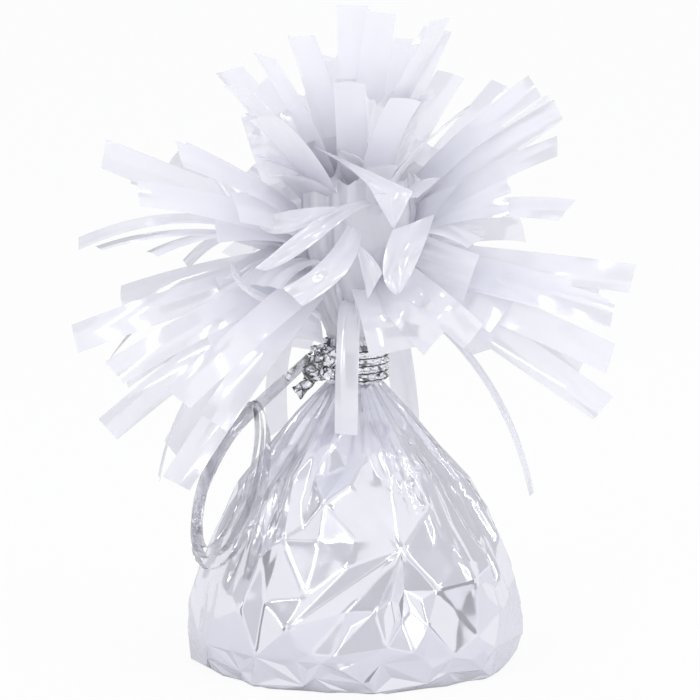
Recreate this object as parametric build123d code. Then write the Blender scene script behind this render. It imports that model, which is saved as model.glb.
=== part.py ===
from build123d import *
from math import cos, pi, radians, sin, sqrt, tan
import os

# A party balloon weight: a cast slug inside a sheet of white film, gathered at a neck that a silver
# ribbon ties, with the sheet's edge cut into a fringe above it and the ribbon's spare length looped
# into a hank at the side. Millimetres, +Z up, origin on the table under the middle of the foot.

# Film sheet
FILM = 0.25
SEAT_GAP = 0.25

# Wrapped base
FOOT_RADIUS = 31.0
BELLY_RADIUS = 36.0
HEM_HEIGHT = 2.2
BELLY_HEIGHT = 7.0
NECK_HEIGHT = 59.0
NECK_RADIUS = 5.9
NECK_LENGTH = 9.4
BELL_POWER = 1.7

# Gathers, which deepen from the hem to the neck, and the rows of the creases' corners between them
GATHERS = 16
HEM_GATHER = 0.7
GATHER_GROWTH = 2.2
GATHER_LIMIT = 0.13
GATHER_DRIFT = 3.5
FOLD = 1.0
NET_SHARES = (0, 0.1, 0.23, 0.42, 0.6, 0.73, 0.87, 1)
LOOSE_ROWS = (3, 4, 5, 6)

# Cast slug
SLUG_ROOM = 14.0
SLUG_CLEARANCE = 0.8
SLUG_EDGE = 3.0

# Tuft: the gathered head that the fringe is cut from, and the strips
TUFT_RISE = 13.6
TUFT_RADIUS = 12.0
TUFT_LATITUDES = (-35, -8, 20, 48, 76)
REACH = 58.0
BOW = 1.0
STRIP_WIDTH = 6.35
ROOT_WIDTH = 2.0
ROOT_TAPER = 11.0
ROOT_SPREAD = 0.8
ROOT_GAP = 0.4
LEAF_REACH = 27.0
LEAF_WIDTH = 9.0
LEAF_BOWS = 2

# Silver ribbon: the turns round the neck, the knot and the hank
TIE_TURNS = 5
TIE_PITCH = 1.55
TIE_BAND = 1.1
TIE_THICKNESS = 0.5
KNOT_BEARING = 222.0
KNOT_OPENING = 36.0
KNOT_RADIUS = 2.8
KNOT_HEIGHT = 7.4
RIBBON_WIDTH = 3.2
RIBBON_THICKNESS = 0.3
TAIL_LENGTH = 5.5
LEAD_OFFSET = 1.2
LEAD_RUN = 8.0
HANK_DROP = (-17.0, -13.9, -34.0)
HANK_FACE = (-0.428, -0.741, 0.516)
HANK_TOP = (15.0, -5.0)
HANK_FOOT = (42.5, 2.0)
HANK_TOP_RADIUS = 2.6
HANK_FOOT_RADIUS = 8.5
HANK_TOP_PITCH = 0.85
HANK_FOOT_PITCH = 2.3
HANK_SHORTEN = 2.2
HANK_LOOPS = 3

NECK_TOP = NECK_HEIGHT + NECK_LENGTH
TUFT_CENTRE = Vector(0, 0, NECK_TOP + TUFT_RISE)
TIE_RADIUS = NECK_RADIUS + SEAT_GAP + TIE_THICKNESS / 2
TIE_MIDDLE = NECK_HEIGHT + NECK_LENGTH / 2
UP = Vector(0, 0, 1)

# Crease corners of the crumpled front by their row and column in the wrap's net: bearing, share of the
# way from the belly to the neck, and how many times FOLD the film stands off its mean shape.
FRONT_CORNERS = {
    (3, 22): (246, 0.09, 1.5), (3, 23): (256, 0.03, -0.8), (3, 24): (267, 0.07, -0.2),
    (3, 25): (278, 0.12, -0.8), (3, 26): (295, 0.085, 1.3), (3, 27): (304, 0.1, -0.8),
    (3, 28): (314, 0.1, 1.0),
    (4, 21): (232, 0.25, 1.1), (4, 22): (248, 0.25, 0.1), (4, 23): (258, 0.18, 1.3),
    (4, 24): (270, 0.26, 1.1), (4, 25): (280, 0.33, 1.2), (4, 26): (292, 0.25, -0.5),
    (4, 27): (304, 0.27, -0.9), (4, 28): (318, 0.23, -0.8),
    (5, 21): (236, 0.44, -1.1), (5, 22): (248, 0.46, 0.9), (5, 23): (259, 0.42, -0.2),
    (5, 24): (271, 0.45, -0.6), (5, 25): (281, 0.415, 0.5), (5, 26): (289, 0.395, 1.8),
    (5, 27): (303, 0.42, -0.8), (5, 28): (314, 0.38, 1.4),
    (6, 21): (237, 0.6, 0.6), (6, 22): (246, 0.6, -1.0), (6, 23): (255, 0.57, 1.4),
    (6, 24): (268, 0.6, 0.1), (6, 25): (280, 0.64, 0.9), (6, 26): (290, 0.61, 1.2),
    (6, 27): (300, 0.52, 0.8), (6, 28): (318, 0.53, -0.9),
    (7, 22): (243, 0.74, 1.1), (7, 23): (255, 0.75, -0.9), (7, 24): (265, 0.69, 0.8),
    (7, 25): (278, 0.75, -0.7), (7, 26): (290, 0.76, 0.7), (7, 27): (303, 0.75, -0.9),
    (7, 28): (315, 0.69, 1.3),
}
FRONT_ROWS = (3, 6)
FRONT_COLUMNS = (21, 28)
FALLING_CELLS = ((5, 23), (6, 24))

# Strips of the fringe by the side of the tuft that they leave. Each has the bearing and the rise of
# its tip as seen from the tuft's centre, the turn of its face from lying flat, and how many times BOW
# its middle stands out. The last two, where given, are its shares of the full reach and width.
FRINGE = {
    "fringe_crown": (
        (267, 79, 0, 2, 0.983), (247, 61, -6, 3), (238, 54, 10, 2), (235, 45, 14, 2), (247, 38, 0, 3),
        (286, 71, 4, 2), (304, 61, -8, 3), (320, 67, -14, 2), (268, 51, 0, 4, 0.931),
        (286, 47, -4, 3, 0.914),
    ),
    "fringe_crown_back": (
        (116, 38, 8, 2), (98, 47, 0, 3), (74, 54, -8, 2), (61, 42, -12, 2), (90, 72, 0, 2, 0.966),
        (134, 46, 14, 2, 0.966), (48, 62, -14, 2, 0.966), (80, 36, 6, 3),
    ),
    "fringe_upper_left": (
        (176, 25, 82, 2), (189, 7, 10, 6), (206, 8, 14, 4), (150, 19, 64, 2), (136, 22, 52, 2),
        (227, 29, 46, 2), (218, 20, 60, 3),
    ),
    "fringe_lower_left": (
        (152, -9, 62, 2), (184, -13, 72, 3, 1.034), (166, -21, 14, 6), (160, -25, 66, 2),
        (209, -17, 60, 3), (186, -32, 72, 2, 1.052), (230, -20, 48, 3), (174, -47, 10, 6, 1.052, 0.45),
        (204, -46, 62, 2), (226, -33, 44, 3, 0.845), (160, -44, 60, 3),
    ),
    "fringe_upper_right": (
        (298, 39, -34, 3), (44, 39, -62, 2), (330, 44, -56, 2), (333, 38, -66, 2), (323, 30, -58, 2),
        (319, 17, -24, 4), (28, 34, -68, 2), (50, 4, -50, 3),
    ),
    "fringe_lower_right": (
        (349, 0, -72, 2), (24, -7, -70, 2), (334, -5, -66, 2), (338, -15, -70, 2), (31, -21, -68, 2),
        (347, -27, -74, 2, 1.017), (305, -12, -46, 3, 0.724), (330, -46, -10, 6, 1.034, 0.45),
        (16, -25, -64, 3, 0.948),
    ),
    "fringe_front": (
        (284, 20, 14, 7, 0.776), (243, 21, 6, 5, 0.828), (247, 6, 18, 5, 0.759),
        (256, -6, 12, 4, 0.655), (296, 6, -20, 5, 0.759), (264, -60, 0, 2, 0.621, 0.75),
        (290, -30, -16, 3, 0.466, 1.65),
    ),
}

# Leaves of uncut sheet that stand between the fans: bearing, rise and turn.
LEAVES = (
    (6, 36, -60), (12, 60, -60), (12, 12, -80), (48, 78, -40), (132, 60, 0), (132, 12, 40), (144, -12, 60),
    (162, 70, 60), (162, 24, 80), (180, 48, 40), (210, 36, -60), (198, -12, 60), (228, 0, 0), (324, 0, -80),
    (348, 24, -40), (342, 48, 80),
)

# Rows of the same strips round the hidden side: rise, first bearing, count, step and times BOW.
BACK_ROWS = ((18, 60, 3, 24, 4), (-3, 68, 3, 25, 6), (-24, 58, 4, 23, 6), (-44, 74, 3, 20, 7))


def bell_station(share):
    """Height, ridge radius and gather depth at a share of the way from the belly to the neck."""
    height = BELLY_HEIGHT + (NECK_HEIGHT - BELLY_HEIGHT) * share
    radius = NECK_RADIUS + (BELLY_RADIUS - NECK_RADIUS) * (1 - share**BELL_POWER)
    depth = min(HEM_GATHER + GATHER_GROWTH * share, GATHER_LIMIT * radius)
    return height, radius, depth


def gathered_face(height, radius, depth):
    """One level of gathered film: puffs of unequal width that meet in creases of unequal depth."""
    step = 360 / GATHERS
    creases = []
    for index in range(GATHERS):
        bearing = radians(index * step + GATHER_DRIFT * sin(2.4 * index))
        inner = radius - depth * (0.8 + 0.2 * sin(1.7 * index))
        creases.append((bearing, inner))
    puffs = []
    for index in range(GATHERS):
        start, start_radius = creases[index]
        end, end_radius = creases[(index + 1) % GATHERS]
        if end < start:
            end += 2 * pi
        middle = (start + end) / 2
        puffs.append(
            ThreePointArc(
                (start_radius * cos(start), start_radius * sin(start), height),
                (radius * cos(middle), radius * sin(middle), height),
                (end_radius * cos(end), end_radius * sin(end), height),
            )
        )
    return Face(Wire(puffs))


def net_level(row, column):
    """Height, ridge radius and gather depth of a row of the wrap's crease net, where a column meets it."""
    if row == 0:
        return 0, FOOT_RADIUS, HEM_GATHER
    if row == 1:
        return HEM_HEIGHT, (FOOT_RADIUS + 2 * BELLY_RADIUS) / 3, HEM_GATHER
    if row == len(NET_SHARES) + 2:
        return NECK_TOP, NECK_RADIUS, bell_station(1)[2]
    slack = 0.025 if row in LOOSE_ROWS else 0
    return bell_station(NET_SHARES[row - 2] + slack * sin(5.3 * column + 2.1 * row))


def net_corner(row, column, inset):
    """One corner of the net: ridges and valleys in turn, and the chosen corners on the front."""
    step = 180 / GATHERS
    if (row, column) in FRONT_CORNERS:
        bearing, share, folds = FRONT_CORNERS[row, column]
        height, radius, _ = bell_station(share)
        proud = FOLD * folds
    else:
        height, radius, depth = net_level(row, column)
        wander = 0.2 * sin(3.1 * column + 1.9 * row) if row in LOOSE_ROWS else 0
        bearing = step * (column + wander) + GATHER_DRIFT * sin(1.2 * column) / 2
        if column % 2:
            proud = depth * (0.3 + 0.3 * sin(1.7 * column + row)) if row in LOOSE_ROWS else 0
        else:
            proud = -depth * (0.8 + 0.2 * sin(1.7 * column))
    reach = radius + proud - inset
    return Vector(reach * cos(radians(bearing)), reach * sin(radians(bearing)), max(height, inset))


def rising_cell(row, column):
    """Whether the crease across a cell of the net rises with the bearing."""
    on_front = FRONT_COLUMNS[0] <= column <= FRONT_COLUMNS[1] and FRONT_ROWS[0] <= row <= FRONT_ROWS[1]
    if on_front:
        return (row, column) not in FALLING_CELLS
    return column % 2 == 0


def creased_solid(rows, inset=0):
    """A solid bounded by the first rows of the crease net, two flat facets to a cell."""
    columns = 2 * GATHERS
    net = [[net_corner(row, column, inset) for column in range(columns)] for row in range(rows)]
    facets = [Face(Wire.make_polygon(net[0])), Face(Wire.make_polygon(net[-1]))]
    for row in range(rows - 1):
        for column in range(columns):
            after = (column + 1) % columns
            low, low_after = net[row][column], net[row][after]
            high, high_after = net[row + 1][column], net[row + 1][after]
            if rising_cell(row, column):
                halves = ((low, low_after, high_after), (low, high_after, high))
            else:
                halves = ((low, low_after, high), (low_after, high_after, high))
            facets += [Face(Wire.make_polygon(half)) for half in halves]
    return Solid(Shell(facets))


def film_wrap():
    """The sheet round the slug: a creased and gathered bell with a flat foot and a solid neck."""
    rows = len(NET_SHARES) + 3
    return creased_solid(rows) - creased_solid(rows - 2, FILM)


def cast_slug():
    """The heavy core: a dome of cast filler that stands on the film and keeps clear of its creases."""
    slug_share = 1 - SLUG_ROOM / (NECK_HEIGHT - BELLY_HEIGHT)
    slack = FILM + SLUG_CLEARANCE
    flank = []
    for share in (slug_share, slug_share * 2 / 3, slug_share / 3, 0):
        height, radius, depth = bell_station(share)
        flank.append((radius - depth - slack, height))
    foot = FOOT_RADIUS - HEM_GATHER - slack
    outline = Polyline((foot, FILM), (0, FILM), (0, flank[0][1]), flank[0])
    side = Spline(*flank)
    edge = Line(flank[-1], (foot, FILM))
    slug = revolve(Plane.XZ * make_face([outline, side, edge]), Axis.Z)
    top_edge = slug.edges().filter_by(GeomType.CIRCLE).sort_by(Axis.Z)[-1]
    return fillet(top_edge, SLUG_EDGE)


def tuft_head():
    """The gathered head above the tie, on whose crown the cuts of the fringe begin."""
    neck = bell_station(1)
    levels = [(NECK_TOP, neck[1], neck[2])]
    for latitude in TUFT_LATITUDES:
        radius = TUFT_RADIUS * cos(radians(latitude))
        height = TUFT_CENTRE.Z + TUFT_RADIUS * sin(radians(latitude))
        levels.append((height, radius, GATHER_LIMIT * radius))
    return loft([gathered_face(*level) for level in levels], ruled=True)


def film_strip(bearing, rise, turn, bows, reach_share=1, width_share=1):
    """One cut strip: narrow where it leaves the head, bent in one plane, square at its tip."""
    bow = BOW * bows
    width = STRIP_WIDTH * width_share
    out = Vector(cos(radians(bearing)), sin(radians(bearing)), 0)
    aside = Vector(-sin(radians(bearing)), cos(radians(bearing)), 0)
    root_rise = radians(90 - (90 - rise) * ROOT_SPREAD)
    root = TUFT_CENTRE + (out * cos(root_rise) + UP * sin(root_rise)) * (TUFT_RADIUS + ROOT_GAP)
    tip = TUFT_CENTRE + (out * cos(radians(rise)) + UP * sin(radians(rise))) * REACH * reach_share
    length = (tip - root).length
    run = (tip - root).normalized()
    facing = run.cross(aside).normalized() * cos(radians(turn)) + aside * sin(radians(turn))
    half = FILM / 2
    edge = make_face(
        [
            ThreePointArc((0, half), (length / 2, bow + half), (length, half)),
            Line((length, half), (length, -half)),
            ThreePointArc((length, -half), (length / 2, bow - half), (0, -half)),
            Line((0, -half), (0, half)),
        ]
    )
    band = extrude(Plane(root, run, run.cross(facing)) * edge, width / 2, both=True)
    outline = make_face(
        Polyline(
            (-half, -ROOT_WIDTH / 2),
            (ROOT_TAPER, -width / 2),
            (length + half, -width / 2),
            (length + half, width / 2),
            (ROOT_TAPER, width / 2),
            (-half, ROOT_WIDTH / 2),
            close=True,
        )
    )
    return band & extrude(Plane(root, run, facing) * outline, bow + width, both=True)


def tuft_leaves():
    """The leaves of the sheet that stay uncut round the head, as short and broad strips."""
    reach_share = LEAF_REACH / REACH
    width_share = LEAF_WIDTH / STRIP_WIDTH
    return [film_strip(*leaf, LEAF_BOWS, reach_share, width_share) for leaf in LEAVES]


def fringe_fans():
    """Every fan of the fringe, with the hidden side's rows in two fans of their own."""
    fans = {name: [film_strip(*strip) for strip in strips] for name, strips in FRINGE.items()}
    for row, (rise, first, count, step, bows) in enumerate(BACK_ROWS):
        name = "fringe_back_upper" if row < 2 else "fringe_back_lower"
        for index in range(count):
            turn = 26 * sin(2.1 * index + row)
            fans.setdefault(name, []).append(film_strip(first + step * index, rise, turn, bows))
    return fans


def biarc(start, start_way, end, end_way):
    """Two arcs that leave one point along its way and reach the next along its own."""
    span = end - start
    ways = start_way + end_way
    spread = 2 * (1 - start_way.dot(end_way))
    forward = span.dot(ways)
    arm = (sqrt(forward**2 + spread * span.dot(span)) - forward) / spread
    middle = (start + start_way * arm + end - end_way * arm) / 2
    first = TangentArc(start, middle, tangent=start_way)
    return [first, TangentArc(middle, end, tangent=first % 1)]


def least_gap(path, points=700, skip=24):
    """The nearest that a path comes to another part of itself, measured on points along it."""
    places = [path @ (index / points) for index in range(points + 1)]
    return min(
        (places[a] - places[b]).length for a in range(len(places)) for b in range(a + skip, len(places))
    )


def tie_place(bearing):
    """The point and the way of the tie's winding at a bearing counted on through its turns."""
    angle = radians(bearing)
    climb = TIE_PITCH * (bearing - KNOT_BEARING) / 360
    low = TIE_MIDDLE - TIE_PITCH * TIE_TURNS / 2
    point = Vector(TIE_RADIUS * cos(angle), TIE_RADIUS * sin(angle), low + climb)
    way = Vector(-TIE_RADIUS * sin(angle), TIE_RADIUS * cos(angle), TIE_PITCH / (2 * pi))
    return point, way.normalized()


def neck_tie():
    """The silver ribbon drawn tight round the neck, with both ends led straight into the knot."""
    first = KNOT_BEARING + KNOT_OPENING
    last = KNOT_BEARING + 360 * TIE_TURNS - KNOT_OPENING
    quarters = 4 * TIE_TURNS - 1
    places = [tie_place(first + (last - first) * index / quarters) for index in range(quarters + 1)]
    stub = TIE_RADIUS * tan(radians(KNOT_OPENING)) - KNOT_RADIUS / 2
    start, start_way = places[0]
    end, end_way = places[-1]
    edges = [Line(start - start_way * stub, start)]
    for (here, way), (there, next_way) in zip(places, places[1:]):
        edges += biarc(here, way, there, next_way)
    edges.append(Line(end, end + end_way * stub))
    path = Wire(edges)
    section = Plane(path @ 0, UP, path % 0) * Rectangle(TIE_BAND, TIE_THICKNESS)
    tie = sweep(section, path, binormal=Pos(0, 0, TIE_BAND) * path)
    wanted = path.length * TIE_BAND * TIE_THICKNESS
    print("tie: length %.1f, least gap %.2f" % (path.length, least_gap(path) - TIE_BAND))
    print("tie: volume %.2f of %.2f" % (tie.volume, wanted))
    return tie


def knot_centre():
    """The middle of the knot, outside the turns of the tie."""
    angle = radians(KNOT_BEARING)
    distance = TIE_RADIUS + TIE_THICKNESS / 2 + KNOT_RADIUS * 0.75
    return Vector(distance * cos(angle), distance * sin(angle), TIE_MIDDLE)


def tie_knot(tie):
    """The knot: a plump lump hollowed to sit against the turns, with the tie's ends let into it."""
    half = KNOT_HEIGHT / 2
    side = ThreePointArc((KNOT_RADIUS * 0.5, -half), (KNOT_RADIUS, 0), (KNOT_RADIUS * 0.5, half))
    rest = Polyline((KNOT_RADIUS * 0.5, half), (0, half), (0, -half), (KNOT_RADIUS * 0.5, -half))
    lump = Pos(*knot_centre()) * revolve(Plane.XZ * make_face([side, rest]), Axis.Z)
    turns = Cylinder(TIE_RADIUS + TIE_THICKNESS / 2 + SEAT_GAP / 2, 2 * KNOT_HEIGHT)
    return lump - Pos(0, 0, TIE_MIDDLE) * turns - tie


def hank_plane():
    """The plane that the hank hangs in: X down its length from the knot, Z out of its face."""
    down = Vector(*HANK_DROP).normalized()
    face = Vector(*HANK_FACE)
    face = (face - down * face.dot(down)).normalized()
    start = knot_centre() + face * LEAD_OFFSET - face.cross(down) * (KNOT_RADIUS + SEAT_GAP)
    return Plane(start, down, face)


def ribbon_along(path, plane):
    """Flat ribbon swept along a path in the hank's plane, its width square to the plane."""
    section = Plane(path @ 0, plane.z_dir, path % 0) * Rectangle(RIBBON_WIDTH, RIBBON_THICKNESS)
    solid = sweep(section, path)
    wanted = path.length * RIBBON_WIDTH * RIBBON_THICKNESS
    print("ribbon: length %.1f, volume %.2f of %.2f" % (path.length, solid.volume, wanted))
    return solid


def hank_side(top_bend, foot_bend, side):
    """The straight side of a loop, which touches its top bend and its foot bend: both its ends."""
    top = Vector(*HANK_TOP)
    axis = (Vector(*HANK_FOOT) - top).normalized()
    foot = Vector(*HANK_FOOT) - axis * HANK_SHORTEN * foot_bend
    top_radius = HANK_TOP_RADIUS - HANK_TOP_PITCH * top_bend
    foot_radius = HANK_FOOT_RADIUS - HANK_FOOT_PITCH * foot_bend
    lean = (top_radius - foot_radius) / (foot - top).length
    across = Vector(-axis.Y, axis.X) * side
    outward = axis * lean + across * sqrt(1 - lean**2)
    return top + outward * top_radius, foot + outward * foot_radius, foot + axis * foot_radius


def lead_points():
    """The free stretch's points: the knot, and a run in line with the hank's first side."""
    top, foot, _ = hank_side(0, 0, -1)
    way = (foot - top).normalized()
    return [Vector(0, 0), top - way * LEAD_RUN / 2, top + way * LEAD_RUN / 2]


def ribbon_lead(plane):
    """The free stretch from the knot to the hank, with its one bend as wide as its runs allow."""
    points = lead_points()
    turn = radians((points[1] - points[0]).get_angle(points[2] - points[1]))
    shorter = min((points[1] - points[0]).length, (points[2] - points[1]).length)
    radius = 0.45 * shorter / tan(turn / 2)
    print("lead: bend radius %.1f" % radius)
    return ribbon_along(plane * FilletPolyline(*points, radius=radius), plane)


def hank_path():
    """The hank's loops from the outside in: straight sides that spread from tight bends at the top."""
    here = lead_points()[-1]
    edges = []
    for loop in range(HANK_LOOPS):
        _, left_foot, lowest = hank_side(loop, loop, -1)
        right_top, right_foot, _ = hank_side(loop + 1, loop, 1)
        left_top, _, _ = hank_side(loop + 1, loop + 1, -1)
        edges.append(Line(here, left_foot))
        edges.append(TangentArc(left_foot, lowest, tangent=edges[-1] % 1))
        edges.append(TangentArc(lowest, right_foot, tangent=edges[-1] % 1))
        if loop == HANK_LOOPS - 1:
            right_top = (right_top + right_foot) / 2
        edges.append(Line(right_foot, right_top))
        if loop < HANK_LOOPS - 1:
            edges.append(TangentArc(right_top, left_top, tangent=edges[-1] % 1))
        here = left_top
    return Wire(edges)


def ribbon_hank(plane):
    """The spare ribbon, looped into a flat hank of one unbroken strip."""
    path = hank_path()
    print("hank: least gap %.2f" % (least_gap(path) - RIBBON_THICKNESS))
    return ribbon_along(plane * path, plane)


def ribbon_tail(plane):
    """The short cut end of the ribbon that sticks out of the knot."""
    base = knot_centre() - UP * KNOT_HEIGHT * 0.3
    way = (plane.x_dir - plane.y_dir * 0.6).normalized()
    start = base + way * KNOT_RADIUS
    outline = make_face(
        Polyline(
            (0, -RIBBON_WIDTH * 0.2),
            (TAIL_LENGTH, -RIBBON_WIDTH * 0.4),
            (TAIL_LENGTH * 0.8, RIBBON_WIDTH * 0.3),
            (0, RIBBON_WIDTH * 0.2),
            close=True,
        )
    )
    return extrude(Plane(start, way, plane.z_dir) * outline, RIBBON_THICKNESS)


def main():
    os.makedirs("parts", exist_ok=True)
    plane = hank_plane()
    tie = neck_tie()
    pieces = {
        "cast_slug": cast_slug(),
        "film_wrap": film_wrap(),
        "tuft_head": Compound(children=[tuft_head(), *tuft_leaves()]),
        "neck_tie": tie,
        "tie_knot": tie_knot(tie),
        "ribbon_tail": ribbon_tail(plane),
        "ribbon_lead": ribbon_lead(plane),
        "ribbon_hank": ribbon_hank(plane),
    }
    for name, strips in fringe_fans().items():
        pieces[name] = Compound(children=strips)
    for name, piece in pieces.items():
        export_step(piece, "parts/%s.step" % name)


main()
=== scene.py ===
import random
from math import atan2, cos, pi, radians, sin

import bpy
from mathutils import Matrix, Quaternion, Vector, noise
from mathutils.geometry import delaunay_2d_cdt


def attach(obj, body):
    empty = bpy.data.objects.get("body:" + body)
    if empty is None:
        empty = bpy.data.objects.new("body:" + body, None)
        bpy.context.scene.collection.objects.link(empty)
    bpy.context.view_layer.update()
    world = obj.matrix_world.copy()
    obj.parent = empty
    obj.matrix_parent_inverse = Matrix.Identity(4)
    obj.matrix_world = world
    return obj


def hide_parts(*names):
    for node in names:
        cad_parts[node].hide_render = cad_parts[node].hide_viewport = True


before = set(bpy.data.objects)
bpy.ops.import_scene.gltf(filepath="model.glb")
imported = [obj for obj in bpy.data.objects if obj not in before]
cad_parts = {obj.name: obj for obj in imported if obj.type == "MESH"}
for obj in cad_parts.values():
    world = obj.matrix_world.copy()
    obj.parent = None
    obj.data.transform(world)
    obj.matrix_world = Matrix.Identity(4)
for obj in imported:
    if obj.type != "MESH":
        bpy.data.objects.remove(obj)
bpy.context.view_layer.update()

MM = 0.001
UP = Vector((0, 0, 1))
BODY = "root"
UNEVEN = (0.6, 1.4)

# The wrapped base, in millimetres. Its film spreads a little past the foot, in a wavy hem.
FOOT_RADIUS = 31.0
BELLY_RADIUS = 36.0
HEM_HEIGHT = 2.2
BELLY_HEIGHT = 7.0
NECK_HEIGHT = 59.0
NECK_RADIUS = 5.9
NECK_LENGTH = 9.4
BELL_POWER = 1.7
FOOT_SPREAD = 1.4
HEM_SPREAD = 0.7
HEM_WAVE = 1.5
SLUG_SHARE = 0.74
SLUG_SLACK = 0.85
CLOSED_EDGE = 0.3

# Gathers of the wrap, and the rows of its crease net as shares of the way from the belly to the neck.
# Corners wander along their rows by shares of a column, and those of the loose rows also up and down.
GATHERS = 16
HEM_GATHER = 0.7
GATHER_GROWTH = 2.2
GATHER_LIMIT = 0.13
GATHER_DRIFT = 3.5
NET_SHARES = (0, 0.1, 0.23, 0.42, 0.6, 0.73, 0.87, 1)
LOOSE_ROWS = (3, 4, 5, 6)
ROW_SLACK = 0.025
WANDER = {1: 0.36, 2: 0.3, 3: 0.2, 4: 0.2, 5: 0.2, 6: 0.2}

# Smaller creases: the share of facets that are split, and the dents as shares of a facet's shortest side.
# Between the creases the film swells and ripples, in millimetres.
SPLIT_SEED = 11
SPLIT_SHARE = 0.15
FACET_DENT = 0.07
HEM_DENT = 0.16
SWELL_DEPTH = 0.16
SWELL_SCALE = 0.07
RIPPLE_DEPTH = 0.04
RIPPLE_SCALE = 0.27

# Narrow gathers that run into the neck. They start just above the hem at the sides, and higher in front.
NARROW_GATHERS = 34
NARROW_DEPTH = 0.8
NARROW_FADE = 12.0
NARROW_RADIUS = 12.0
SIDE_START = 3.0
FRONT_LIFT = 40.0

# The tuft, in millimetres, and the share of a strip that lies between the neck and its root
TUFT_RISE = 13.6
TUFT_RADIUS = 12.0
REACH = 58.0
STRIP_WIDTH = 6.35
ROOT_SPREAD = 0.8
ROOT_GAP = 0.4
LEAF_SEED = 5
LEAF_REACH = 27.0
LEAF_REACHES = (0.95, 1.15)
LEAF_WIDTH = 9.0
LEAF_WIDTHS = (1.0, 1.5)
LEAF_BOW = 2.0
LEAF_PLEATS = 3.5
LEAF_DEPTH = 2.0
STRAND_RADIUS = 3.5
STRAND_RISE = 0.5
NECK_SHARE = 0.24

# How far a strip may cup, sway, twist and be cut askew, in millimetres and degrees, and how it is pleated
STRIP_CUP = 0.45
STRIP_SWAY = 0.8
STRIP_TWIST = 16
TWIST_START = 0.3
STRIP_SKEW = 1.0
STRIP_PLEATS = 1.5
STRIP_DEPTH = 0.5
LEAST_FOLD = 0.25
ROOT_BREADTH = 0.4
BREADTH_GROWTH = 2.2
GUIDE_SHARE = 0.6
LINE_STEP = 0.01

# Uncut film between the strips of a fan, as a share of their length, and the widest gap that it spans
UNCUT = {
    "fringe_crown": 0.84, "fringe_crown_back": 0.7, "fringe_upper_right": 0.74, "fringe_upper_left": 0.6,
}
LEAST_UNCUT = 0.48
UNCUT_RANGE = (0.85, 1.15)
UNCUT_STEP = 0.02
LEAST_WEB = 0.2
WEB_MIDDLE = 0.6
WEB_LIMIT = 15.0
WEB_PLEAT = 2.2

# Strips that point lower than this have no second layer behind them. Its strips differ from those in
# front by ranges of bearing, rise and turn in degrees, and by shares of reach and width.
LOWEST_BACKED = -19
UNDER_RANGES = ((-7, 7), (-5, 4), (-14, 14), (0.58, 0.84), (1.0, 1.5))

# The ribbon's tie, knot and cut end, in millimetres and degrees
TIE_TURNS = 5
TIE_PITCH = 1.55
TIE_BAND = 1.5
TIE_RADIUS = 6.4
TIE_SINK = 0.12
TIE_FLAT = 0.35
TIE_PUFF = 0.55
TIE_PUFFS = 10.3
TIE_PHASE = 0.11
TIE_THICKNESS = 0.1
TIE_END = 0.4
KNOT_BEARING = 222.0
KNOT_OPENING = 36.0
KNOT_RADIUS = 2.8
KNOT_HEIGHT = 7.4
KNOT_SEAT = 0.75
CRUSH_DEPTH = 0.45
CRUSH_SCALE = 2.3
WRINKLE_DEPTH = 0.4
WRINKLE_SCALE = 5.1
RIBBON_WIDTH = 3.2
RIBBON_THICKNESS = 0.12
TAIL_LENGTH = 5.5
TAIL_PLEAT = 0.4
TAIL_LEAN = 0.6
TAIL_DROP = 0.3
TAIL_START = 1.5
TAIL_LIFT = 0.6

# The hank hangs in a plane: X down its length from the knot, Y across it, Z out of its face
HANK_DROP = Vector((-17.0, -13.9, -34.0))
HANK_FACE = Vector((-0.428, -0.741, 0.516))
HANK_BROAD = Vector((-0.22, -0.9, 0.36))
LEAD_OFFSET = 1.2
SEAT_GAP = 0.25
LEAD_POINTS = ((0, 0, 0), (4.0, -1.6, 0.2), (8.5, -4.0, 0.3))
HANK_TOP = (12.6, -5.4)
HANK_FOOT = (50.4, 1.4)
HANK_BREADTH = 8.6
APEX_BREADTH = 4.2
HANK_LOOPS = 3
HANK_FAN = 1.7
HANK_STANDOFF = 0.4
LOOP_POINTS = 16
FIRST_POINT = 2
FIRST_BREADTH = 1.05
LOOP_SHRINK = 0.14
LOOP_SHORTEN = 0.06
LOOP_SLIP = 0.015
LOOP_WAVE = 0.3

NECK_TOP = NECK_HEIGHT + NECK_LENGTH
TUFT_CENTRE = Vector((0, 0, NECK_TOP + TUFT_RISE))
TIE_MIDDLE = NECK_HEIGHT + NECK_LENGTH / 2

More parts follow.
